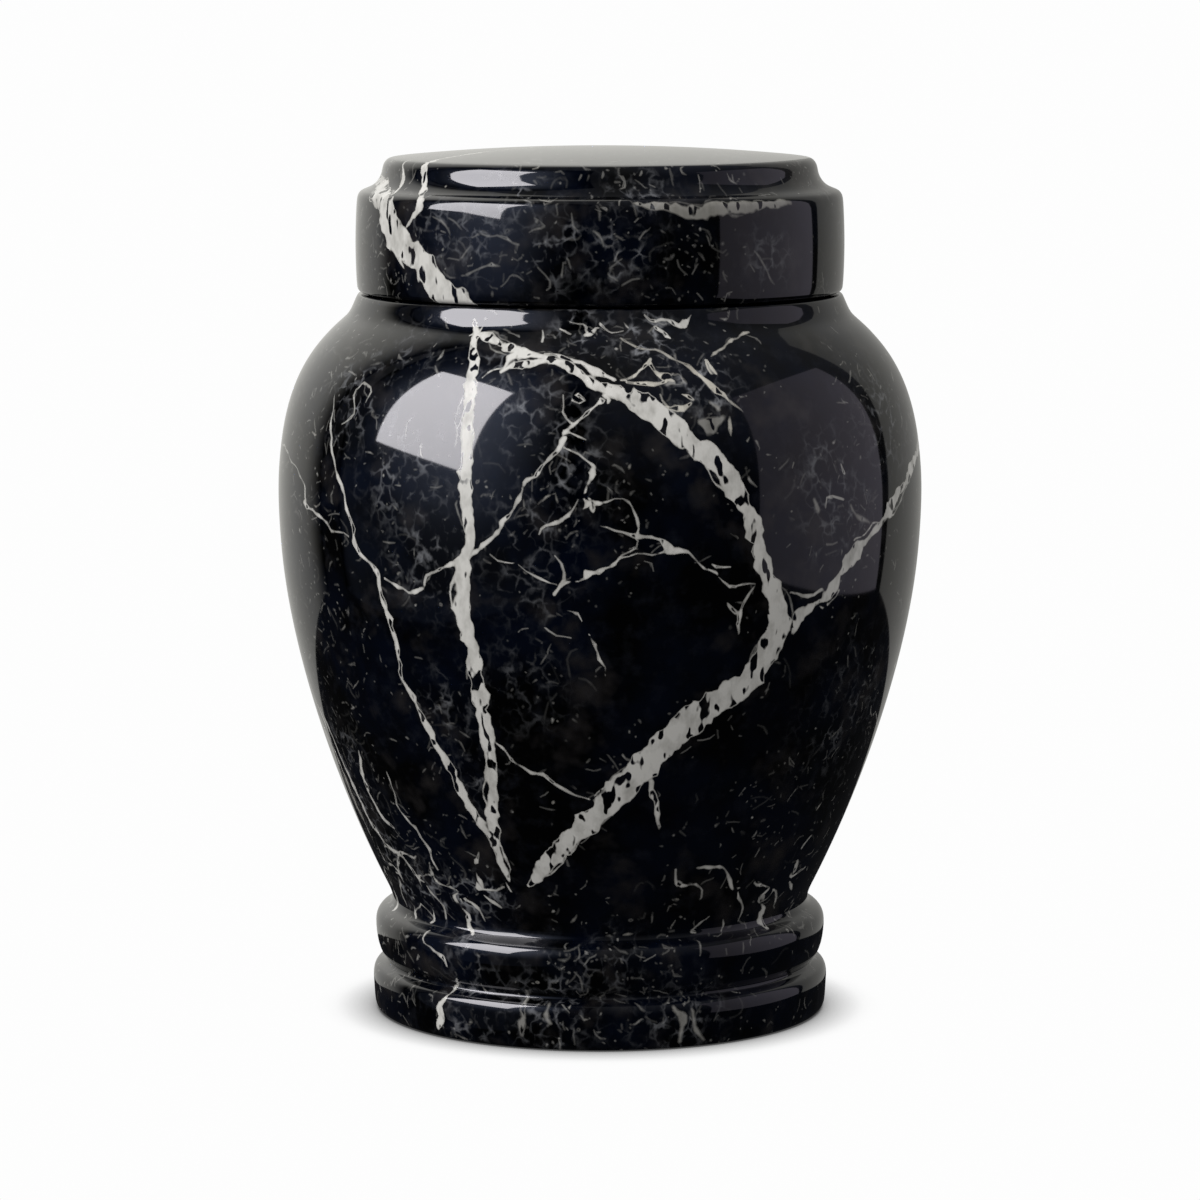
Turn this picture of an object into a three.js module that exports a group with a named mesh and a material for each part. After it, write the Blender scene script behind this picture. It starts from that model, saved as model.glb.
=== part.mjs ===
import * as THREE from "three";

// A turned stone urn in two pieces, standing on z = 0 with its axis on Z.
// Radii and heights are in millimetres and are read from the axis and from the floor.
// A PULL is a point, or the length to a point, that draws a curve towards it.

// Flat sides in one full turn.
const TURN_STEPS = 60;

// Play between the two pieces.
const GAP = 0.3;

// Polished black marble.
const BODY_COLOUR = 0x16171c;
const LID_COLOUR = 0x1c1d22;
const POLISH_ROUGHNESS = 0.15;

// Foot: a plinth below and a ring above it, cut in one with the body.
const UNDERSIDE_R = 72;
const UNDERSIDE_PULL_R = 74.5;
const PLINTH_EASE_R = 74.6;
const PLINTH_EASE_Z = 4.5;
const PLINTH_R = 75;
const PLINTH_ARRIS_Z = 12.2;
const NOTCH_R = 69.8;
const NOTCH_Z = 16.7;
const NOTCH_PULL_R = 72.5;
const NOTCH_PULL_Z = 18;
const RING_R = 74.1;
const RING_PULL_Z = 22;
const RING_ARRIS_Z = 30.6;
const ARRIS_ROUND = 3;
const SLOPE_DEG = 65;

// Body: a long taper up to the belly, a full shoulder and a hollowed neck.
const WAIST_R = 67;
const WAIST_Z = 35.6;
const WAIST_LEAN = 0.54;
const WAIST_PULL = 26;
const BELLY_R = 105;
const BELLY_Z = 169;
const BELLY_PULL_DOWN = 52;
const BELLY_PULL_UP = 29;
const TURN_R = 87.7;
const TURN_Z = 223.8;
const TURN_PULL_DOWN = 15.8;
const TURN_PULL_UP = 7.7;
const NECK_R = 79.2;
const NECK_Z = 234.9;
const NECK_LEAN = 0.37;
const NECK_PULL_R = 78.8;
const RIM_R = 77.4;
const RIM_Z = 235.9;

// Chamber for the ashes, under a narrower mouth.
const MOUTH_R = 58;
const MOUTH_Z = 221;
const MOUTH_PULL_R = 75;
const MOUTH_PULL_Z = 213;
const WALL = 15;
const FLOOR_Z = 26;
const FLOOR_R = 40;
const FLOOR_PULL_R = 49;
const FLOOR_PULL_Z = 26.5;
const FLOOR_TURN_R = 55.5;
const FLOOR_TURN_Z = 46;
const FLOOR_TURN_PULL_R = 64.5;
const FLOOR_TURN_PULL_Z = 68;

// Lid: a plug, a broad band, a cove and a low domed top.
const PLUG_DEEP = 9;
const PLUG_EASE = 1;
const SEAT_Z = RIM_Z + GAP;
const SEAT_R = 76.6;
const SEAT_PULL_R = 79;
const BAND_LOW_R = 79.1;
const BAND_LOW_Z = 239;
const BAND_PULL_R = 79.8;
const BAND_PULL_Z = 252;
const BAND_HIGH_R = 79;
const BAND_HIGH_Z = 265.2;
const LEDGE_PULL_R = 78.9;
const LEDGE_PULL_Z = 269;
const LEDGE_R = 76.2;
const LEDGE_Z = 269.6;
const COVE_PULL_R = 72.1;
const COVE_PULL_Z = 270.8;
const DISC_R = 70.8;
const DISC_Z = 274.9;
const DISC_PULL_R = 70.4;
const DISC_PULL_Z = 279.7;
const EDGE_R = 66.7;
const EDGE_Z = 279.8;
const TOP_Z = 283;

const at = (r, z) => new THREE.Vector2(r, z);
const line = (a, b) => new THREE.LineCurve(a, b);
const bend = (a, pull, b) => new THREE.QuadraticBezierCurve(a, pull, b);
const sweep = (a, pullA, pullB, b) => new THREE.CubicBezierCurve(a, pullA, pullB, b);

// Part of a circle that starts on its outer side and turns up towards the axis.
function rounding(r, z, radius, degrees) {
  const end = THREE.MathUtils.degToRad(degrees);
  return new THREE.EllipseCurve(r - radius, z, radius, radius, 0, end);
}

// A point set off from another by a length along a direction.
function pulled(from, dr, dz, length) {
  return from.clone().add(at(dr, dz).setLength(length));
}

// Curves followed end to end, each cut into its own number of steps.
function outline(curves) {
  const points = [curves[0][0].getPoint(0)];
  for (const [curve, steps] of curves) {
    points.push(...curve.getPoints(steps).slice(1));
  }
  return points;
}

function turned(name, points, colour) {
  const shape = new THREE.LatheGeometry(points, TURN_STEPS);
  shape.rotateX(Math.PI / 2);
  const stone = new THREE.MeshStandardMaterial({ color: colour, roughness: POLISH_ROUGHNESS });
  stone.name = "polished_black_marble_" + name;
  const mesh = new THREE.Mesh(shape, stone);
  mesh.name = name;
  return mesh;
}

// Foot, from the middle of the underside up to the waist.
const underside = at(UNDERSIDE_R, 0);
const plinthEase = at(PLINTH_EASE_R, PLINTH_EASE_Z);
const plinthSide = at(PLINTH_R, PLINTH_ARRIS_Z);
const plinthArris = rounding(PLINTH_R, PLINTH_ARRIS_Z, ARRIS_ROUND, SLOPE_DEG);
const notch = at(NOTCH_R, NOTCH_Z);
const ringSide = at(RING_R, RING_ARRIS_Z);
const ringArris = rounding(RING_R, RING_ARRIS_Z, ARRIS_ROUND, SLOPE_DEG);
const waist = at(WAIST_R, WAIST_Z);
const foot = [
  [line(at(0, 0), underside), 1],
  [bend(underside, at(UNDERSIDE_PULL_R, 0), plinthEase), 4],
  [line(plinthEase, plinthSide), 1],
  [plinthArris, 3],
  [line(plinthArris.getPoint(1), notch), 1],
  [sweep(notch, at(NOTCH_PULL_R, NOTCH_PULL_Z), at(RING_R, RING_PULL_Z), ringSide), 5],
  [ringArris, 3],
  [line(ringArris.getPoint(1), waist), 1],
];

// Outside of the body, from the waist up to the rim.
const waistPull = pulled(waist, WAIST_LEAN, 1, WAIST_PULL);
const belly = at(BELLY_R, BELLY_Z);
const turn = at(TURN_R, TURN_Z);
const neck = at(NECK_R, NECK_Z);
const rim = at(RIM_R, RIM_Z);
const outside = [
  [sweep(waist, waistPull, at(BELLY_R, BELLY_Z - BELLY_PULL_DOWN), belly), 8],
  [sweep(belly, at(BELLY_R, BELLY_Z + BELLY_PULL_UP), pulled(turn, 1, -1, TURN_PULL_DOWN), turn), 7],
  [sweep(turn, pulled(turn, -1, 1, TURN_PULL_UP), pulled(neck, NECK_LEAN, -1, TURN_PULL_UP), neck), 4],
  [bend(neck, at(NECK_PULL_R, RIM_Z), rim), 2],
];

// Inside of the body, from the rim down to the floor of the chamber.
const mouthTop = at(MOUTH_R, RIM_Z);
const mouth = at(MOUTH_R, MOUTH_Z);
const mouthPull = at(MOUTH_PULL_R, MOUTH_PULL_Z);
const hollow = at(BELLY_R - WALL, BELLY_Z);
const hollowPullUp = at(BELLY_R - WALL, BELLY_Z + BELLY_PULL_UP);
const hollowPullDown = at(BELLY_R - WALL, BELLY_Z - BELLY_PULL_DOWN);
const floorTurn = at(FLOOR_TURN_R, FLOOR_TURN_Z);
const floorTurnPull = at(FLOOR_TURN_PULL_R, FLOOR_TURN_PULL_Z);
const floorEdge = at(FLOOR_R, FLOOR_Z);
const inside = [
  [line(rim, mouthTop), 1],
  [line(mouthTop, mouth), 1],
  [sweep(mouth, mouthPull, hollowPullUp, hollow), 5],
  [sweep(hollow, hollowPullDown, floorTurnPull, floorTurn), 5],
  [bend(floorTurn, at(FLOOR_PULL_R, FLOOR_PULL_Z), floorEdge), 3],
  [line(floorEdge, at(0, FLOOR_Z)), 1],
];

// Lid, from the middle of the plug up to the crown of the dome.
const plugR = MOUTH_R - GAP;
const plugLow = SEAT_Z - PLUG_DEEP;
const seatInner = at(plugR, SEAT_Z);
const seatOuter = at(SEAT_R, SEAT_Z);
const bandLow = at(BAND_LOW_R, BAND_LOW_Z);
const bandHigh = at(BAND_HIGH_R, BAND_HIGH_Z);
const ledge = at(LEDGE_R, LEDGE_Z);
const disc = at(DISC_R, DISC_Z);
const edge = at(EDGE_R, EDGE_Z);
const lid = [
  [line(at(0, plugLow), at(plugR - PLUG_EASE, plugLow)), 1],
  [line(at(plugR - PLUG_EASE, plugLow), at(plugR, plugLow + PLUG_EASE)), 1],
  [line(at(plugR, plugLow + PLUG_EASE), seatInner), 1],
  [line(seatInner, seatOuter), 1],
  [bend(seatOuter, at(SEAT_PULL_R, SEAT_Z), bandLow), 3],
  [bend(bandLow, at(BAND_PULL_R, BAND_PULL_Z), bandHigh), 3],
  [bend(bandHigh, at(LEDGE_PULL_R, LEDGE_PULL_Z), ledge), 3],
  [bend(ledge, at(COVE_PULL_R, COVE_PULL_Z), disc), 4],
  [bend(disc, at(DISC_PULL_R, DISC_PULL_Z), edge), 4],
  [bend(edge, at(EDGE_R / 2, TOP_Z), at(0, TOP_Z)), 4],
];

const urn = new THREE.Group();
urn.name = "cremation_urn";
urn.add(turned("urn_body", outline([...foot, ...outside, ...inside]), BODY_COLOUR));
urn.add(turned("urn_lid", outline(lid), LID_COLOUR));

export default urn;
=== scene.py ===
# %% [markdown]
# # A turned marble urn
# A cremation urn is a stone jar with a lid, turned on a lathe like a bowl. This one is black
# marble shot through with white calcite. The frame already holds both pieces at their true
# size, so this lesson gives them a smooth polished skin, lays the veins on it, and sets up
# the studio.

# %% Load the frame
import math
import random

import bpy
import numpy as np
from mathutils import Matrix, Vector, kdtree, noise


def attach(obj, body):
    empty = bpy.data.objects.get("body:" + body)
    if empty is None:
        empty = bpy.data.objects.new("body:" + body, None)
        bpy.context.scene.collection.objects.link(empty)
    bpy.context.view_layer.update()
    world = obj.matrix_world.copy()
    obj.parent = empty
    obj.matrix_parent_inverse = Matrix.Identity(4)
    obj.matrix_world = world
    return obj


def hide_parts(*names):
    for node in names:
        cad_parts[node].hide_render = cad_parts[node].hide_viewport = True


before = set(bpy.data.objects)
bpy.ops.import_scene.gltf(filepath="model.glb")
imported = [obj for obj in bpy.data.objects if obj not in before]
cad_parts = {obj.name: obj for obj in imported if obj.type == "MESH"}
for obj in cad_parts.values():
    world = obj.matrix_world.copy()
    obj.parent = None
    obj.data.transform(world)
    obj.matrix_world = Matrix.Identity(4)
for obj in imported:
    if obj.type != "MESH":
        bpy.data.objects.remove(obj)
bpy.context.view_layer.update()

MM = 0.001
print("frame holds", sorted(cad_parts))

# %% [markdown]
# ## The outline of each piece
# Everything on a turned piece follows from one half outline. It could be drawn again point by
# point, but the frame already has it: the edges that lie in the frame's front half plane, walked
# from the axis out and back to the axis, are that outline. So no curve is drawn twice.

# %% Read the outlines
# Two points closer than this are one, and a point closer than this to the axis lies on it.
NEAR_MM = 0.01


def outline_of(node):
    """Half outline of a frame piece, as (radius, height) in mm, from the axis back to the axis."""
    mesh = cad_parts[node].data
    place = [tuple(round(c / MM, 3) for c in v.co) for v in mesh.vertices]
    beside = {}
    for edge in mesh.edges:
        a, b = (place[i] for i in edge.vertices)
        if a != b and all(abs(p[0]) < NEAR_MM and p[1] < NEAR_MM for p in (a, b)):
            beside.setdefault(a, set()).add(b)
            beside.setdefault(b, set()).add(a)
    walk = [min((p for p in beside if abs(p[1]) < NEAR_MM), key=lambda p: p[2])]
    while True:
        ahead = [p for p in beside[walk[-1]] if p not in walk]
        if not ahead:
            return np.array([(-p[1], p[2]) for p in walk])
        walk.append(ahead[0])


def nearest(outline, point):
    """Number of the outline's point that lies nearest to a place."""
    return int(np.argmin(np.hypot(*(outline - point).T)))


def run_along(outline):
    """How far along the outline each of its points lies, in mm."""
    return np.concatenate([[0], np.cumsum(np.hypot(*np.diff(outline, axis=0).T))])


outlines = {name: outline_of(name) for name in ("urn_body", "urn_lid")}
print({name: len(points) for name, points in outlines.items()}, "points as drawn")

# %% [markdown]
# ## Rounds on the foot
# A grinding wheel cannot cut a sharp inside corner, and polishing rounds every edge, so the
# mouldings of the foot flow into their hollows. A Bevel modifier could round them after the
# turning, but on the outline one curve does it. Every round catches the light in a line of its
# own.

# %% Round the foot
# Corner as (radius, height): where its round starts below it and ends above it, in mm of outline.
ROUNDS = {
    (74.2, 32.6): (4.4, 3.0),
    (67.0, 35.6): (3.6, 7.0),
    (75.1, 14.0): (3.2, 2.3),
    (69.8, 16.7): (2.5, 2.8),
}
ROUND_POINTS, JOIN_MM = 7, 0.3


def rounded(points, corner, below, above):
    """Swaps the outline near a corner for one smooth round."""
    run = run_along(points)
    at = run[nearest(points, corner)]
    low, high = at - below, at + above
    start, end = (np.array([np.interp(d, run, side) for side in points.T]) for d in (low, high))
    t = np.linspace(0, 1, ROUND_POINTS)[:, None]
    curve = start * (1 - t) ** 2 + np.array(corner) * 2 * t * (1 - t) + end * t * t
    return np.vstack([points[run < low - JOIN_MM], curve, points[run > high + JOIN_MM]])


softened = outlines["urn_body"]
for corner, (below, above) in ROUNDS.items():
    softened = rounded(softened, corner, below, above)
print(len(ROUNDS), "corners of the foot are rounded")

# %% [markdown]
# ## Curves that flow
# The frame is faceted, and a polished stone shows every facet in its reflections, so the outline
# is made to flow: each round of splitting puts a point in the middle of every step and draws the
# old points towards their neighbours, which is how a Subdivision Surface works. Where the outline
# turns by more than CORNER_DEG it is a real corner and is kept. The modifier itself would split
# the inside just as finely. Done on the outline, only the outside gets the short steps that the
# veins need.

# %% Let the curves flow
CORNER_DEG = 42.0
# Steps are even where the longer is under EVEN times the shorter one.
EVEN = 2.5
# The bend at a point is divided by these, once to push it out and then each round to draw it in.
PUSH_PART, DRAW_PART = 6, 8


def turn_at(points):
    """How sharply the outline turns at each point, in degrees."""
    step = np.diff(points, axis=0)
    heading = np.degrees(np.arctan2(step[:, 1], step[:, 0]))
    bend = np.abs((np.diff(heading) + 180) % 360 - 180)
    return np.concatenate([[180], bend, [180]])


def flowing(points, rounds=3):
    """The outline with its curves made smooth and its corners kept."""
    fixed = turn_at(points) > CORNER_DEG
    step = np.hypot(*np.diff(points, axis=0).T)
    even = np.zeros(len(points), bool)
    even[1:-1] = np.maximum(step[1:], step[:-1]) < EVEN * np.minimum(step[1:], step[:-1])
    # A split curve shrinks a little inside its points, so they are first pushed out by as much.
    pull = np.zeros_like(points)
    pull[1:-1] = (points[:-2] - 2 * points[1:-1] + points[2:]) / PUSH_PART
    points = points - pull * (even & ~fixed)[:, None]
    for _ in range(rounds):
        old = points.copy()
        draw = (points[:-2] - 2 * points[1:-1] + points[2:]) / DRAW_PART
        old[1:-1] += draw * ~fixed[1:-1, None]
        both = np.empty((2 * len(points) - 1, 2))
        both[0::2] = old
        both[1::2] = (points[:-1] + points[1:]) / 2
        points = both
        fixed = np.repeat(fixed, 2)[:-1] & (np.arange(len(points)) % 2 == 0)
    return points, fixed


body_flow, lid_flow = flowing(softened), flowing(outlines["urn_lid"])
print("points once they flow:", len(body_flow[0]), "body,", len(lid_flow[0]), "lid")

# %% Keep the points that count
FINE_MM, COARSE_MM, FINE_TURN_DEG = 1.6, 7.0, 7.0
# Ends of the outside of the body and of the lid, as (radius, height) in mm.
UNDERSIDE_EDGE, RIM = (72.0, 0.0), (77.4, 235.9)
SEAT_EDGE, CROWN = (76.6, 236.2), (0.0, 283.0)


def thinned(points, fixed, outside):
    """Keeps the corners, every few degrees of turn, and short steps between the ends of `outside`."""
    first, last = (nearest(points, end) for end in outside)
    turn = turn_at(points)
    kept, turned, gone = [0], 0.0, 0.0
    for i in range(1, len(points)):
        gone += math.dist(points[i], points[i - 1])
        turned += turn[i]
        longest = FINE_MM if first < i <= last else COARSE_MM
        if i == len(points) - 1 or fixed[i] or turned > FINE_TURN_DEG or gone > longest:
            kept.append(i)
            turned = gone = 0.0
    return points[kept]


body_outline = thinned(*body_flow, (UNDERSIDE_EDGE, RIM))
lid_outline = thinned(*lid_flow, (SEAT_EDGE, CROWN))
print("outline points:", len(body_outline), "body,", len(lid_outline), "lid")

# %% [markdown]
# ## Turning the two pieces
# In the viewport this is done with one vertex: a plane is added, merged to a point, and the point
# is extruded from place to place until it has drawn the half outline. Spin then carries the
# outline once round the axis. A Screw modifier would turn it too, but the veins are laid on real
# faces. The last column of a full turn lands on the first, and all the columns meet on the axis,
# so doubles are merged before the normals are made to face out.

# %% Draw and spin
TURN_STEPS = 288


def turned(name, outline):
    """A mesh of the outline, carried once round the axis."""
    bpy.ops.object.select_all(action="DESELECT")
    bpy.ops.mesh.primitive_plane_add(size=MM)
    piece = bpy.context.object
    piece.name = piece.data.name = name
    bpy.ops.object.mode_set(mode="EDIT")
    bpy.ops.mesh.merge(type="CENTER")
    places = [Vector((0, -r, z)) * MM for r, z in outline]
    bpy.ops.transform.translate(value=places[0])
    for here, there in zip(places, places[1:]):
        bpy.ops.mesh.extrude_region_move(TRANSFORM_OT_translate={"value": there - here})
    bpy.ops.mesh.select_all(action="SELECT")
    bpy.ops.mesh.spin(steps=TURN_STEPS, angle=math.tau, center=(0, 0, 0), axis=(0, 0, 1))
    bpy.ops.mesh.select_all(action="SELECT")
    bpy.ops.mesh.remove_doubles(threshold=NEAR_MM * MM)
    bpy.ops.mesh.normals_make_consistent(inside=False)
    bpy.ops.object.mode_set(mode="OBJECT")
    bpy.ops.object.shade_smooth_by_angle(angle=math.radians(CORNER_DEG))
    print(name, len(piece.data.vertices), "vertices,", len(piece.data.polygons), "faces")
    return piece


body = turned("marble_body", body_outline)
lid = turned("marble_lid", lid_outline)
for piece, node, finish in ((body, "urn_body", "body_marble"), (lid, "urn_lid", "lid_marble")):
    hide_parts(node)
    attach(piece, "root")

# %% [markdown]
# ## Where the veins run
# Calcite filled cracks in the rock, so a vein is a line on the surface with a width, not a
# stain. Each is given here as a route: degrees round to the right of the front, millimetres
# of tape up the outside, and half the vein's width. On the body the tape starts at the floor,
# on the lid at its lower edge, and it ends on the crown.

# %% Measure along the outside
MARK_MM, SKIN_PART = FINE_MM / 4, 0.05


def taped(drawn, finished, outside):
    """Marks along the outside as drawn, with the radius and height of the finished outside there."""
    first, last = (nearest(drawn, end) for end in outside)
    side = drawn[first:last + 1]
    run = run_along(side)
    marks = np.arange(0, run[-1], MARK_MM)
    wanted = np.array([np.interp(marks, run, c) for c in side.T]).T
    count = np.arange(0, len(finished), SKIN_PART)
    skin = np.array([np.interp(count, np.arange(len(finished)), c) for c in finished.T]).T
    laid = np.array([skin[nearest(skin, point)] for point in wanted])
    return marks, laid[:, 0], laid[:, 1]


def on_surface(tape, degrees, run):
    """Point on the outside at an angle and a length of tape, in mm."""
    a = math.radians(degrees)
    r = np.interp(run, tape[0], tape[1])
    return r * math.sin(a), -r * math.cos(a), np.interp(run, tape[0], tape[2])


body_tape = taped(outlines["urn_body"], body_outline, (UNDERSIDE_EDGE, RIM))
lid_tape = taped(outlines["urn_lid"], lid_outline, (SEAT_EDGE, CROWN))
print("tape in mm:", round(body_tape[0][-1], 1), "up the body,", round(lid_tape[0][-1], 1), "up the lid")

# %% [markdown]
# ## Broad veins of the body
# The broad cracks make the picture that the eye remembers: a trunk, an arc that leaves it at the
# neck and comes back low down, and one vein on either side. They could be painted on the mesh
# with a brush, but a list of places is easier to correct, one point at a time. The back has a few
# veins of the same kind.

# %% Broad veins of the body
BODY_VEINS = {
    "trunk": [(-29, 255, 1.2), (-27, 246, 1.5), (-25, 236, 1.8), (-24, 222, 2.3), (-23.5, 205, 2.5),
              (-23, 192, 2.2), (-22.5, 183, 1.9), (-24, 172, 2.6), (-24, 158, 3.0), (-23, 146, 2.7),
              (-22.5, 134, 2.6), (-22, 120, 2.4), (-22, 104, 2.0), (-23, 92, 2.0), (-24, 80, 1.7),
              (-22, 66, 1.1)],
    "arc": [(-28, 249, 1.2), (-25, 250, 1.6), (-21, 246, 1.7), (-17, 243.5, 1.4), (-11, 241, 1.6),
            (-6, 237.5, 1.7), (-2, 233, 1.7), (2, 229.5, 2.4), (7, 225.5, 3.6), (11, 220, 3.6),
            (15.5, 213, 3.4), (20, 207, 3.3), (23, 199, 3.1), (26, 191, 2.9), (27.5, 182, 2.7),
            (29.5, 171, 2.8), (32, 161, 3.5), (33, 153, 4.0), (31, 145, 4.3), (28, 137, 4.5),
            (23, 131, 4.7), (17, 124, 4.8), (11.5, 115.5, 5.0), (8, 108, 5.0), (3, 99, 4.6),
            (-2, 90, 4.0), (-9, 79, 3.2), (-17, 65, 2.0)],
    "left": [(-58, 224, 0.3), (-56, 212, 0.5), (-54, 203, 0.7), (-51, 197, 0.8), (-49, 190, 0.9),
             (-47.5, 182, 0.9), (-46, 175, 0.9), (-42, 169, 0.9), (-41, 161, 1.1), (-40, 155, 1.1),
             (-39, 147, 1.1), (-39, 136, 0.9), (-37, 130, 1.1), (-36, 123, 1.2), (-34, 116, 1.2),
             (-32, 109, 1.5), (-30.5, 102, 1.6), (-29, 95, 1.6), (-27, 88, 1.6), (-25, 82, 1.2),
             (-24, 74, 0.8)],
    "right": [(152, 233, 0.3), (138, 229, 1.4), (128, 226, 1.4), (119, 221, 2.2), (110, 216, 1.6),
              (101, 211, 2.3), (94, 208, 1.7), (86, 205, 2.1), (78.5, 201, 1.7), (72, 197, 2.3),
              (68, 193, 1.1), (64, 190, 2.5), (61, 187, 2.3), (58.5, 183, 0.8), (56.5, 181, 2.0),
              (53, 178, 1.0), (50, 175, 3.2), (47.5, 171, 2.9), (46, 168, 1.0), (44.5, 164, 2.9),
              (43, 161.5, 2.1), (41, 160, 1.0), (38.5, 157.5, 1.9), (37, 155, 2.1), (36, 151, 0.9)],
    "slant": [(-6, 214, 1.4), (-8.5, 208, 0.7), (-12, 201.5, 0.7), (-14, 195, 0.6), (-16, 189, 0.7),
              (-18, 184, 0.7), (-21, 179.5, 0.6), (-25, 175, 0.7), (-28, 173, 0.6), (-31, 170, 0.7),
              (-33, 165, 0.7), (-35, 163.5, 0.7), (-37, 166.5, 0.7), (-40, 168, 0.6)],
    "back_trunk": [(168, 256, 1.6), (165, 240, 2.2), (163, 222, 1.4), (166, 206, 2.8), (165, 190, 3.0),
                   (161, 172, 1.7), (159, 156, 2.6), (157, 134, 2.9), (159, 118, 1.5), (156, 98, 2.2),
                   (157, 78, 1.2), (153, 58, 0.5)],
    "back_arc": [(165, 240, 1.2), (172, 235, 2.1), (181, 225, 1.8), (189, 215, 3.0), (199, 200, 3.4),
                 (203, 184, 2.5), (206, 166, 3.3), (201, 146, 4.4), (193, 131, 4.6), (186, 116, 3.4),
                 (177, 103, 3.7), (171, 90, 2.0), (163, 74, 0.8)],
    "back_link": [(205, 164, 1.3), (214, 158, 1.0), (224, 153, 0.9), (234, 150, 0.8), (246, 145, 0.8)],
    "far_left": [(-93, 170, 0.6), (-103, 158, 1.0), (-112, 146, 1.3), (-117, 130, 1.5), (-123, 112, 1.4),
                 (-131, 94, 1.2), (-136, 78, 0.9), (-139, 60, 0.6)],
    "far_right": [(90, 152, 0.7), (99, 138, 1.2), (104, 120, 1.5), (112, 104, 1.4), (117, 86, 1.3),
                  (124, 70, 0.9), (128, 52, 0.6)],
}
print(len(BODY_VEINS), "broad veins on the body")

# %% [markdown]
# ## Thin veins of the body
# Between the broad veins runs a net of threads, with knots where a crack opened. Some on the
# shoulder are cream, and in some places the calcite is only a skin that lets the dark stone
# through. They are routes like the broad ones, so that one function can lay them all.

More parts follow.
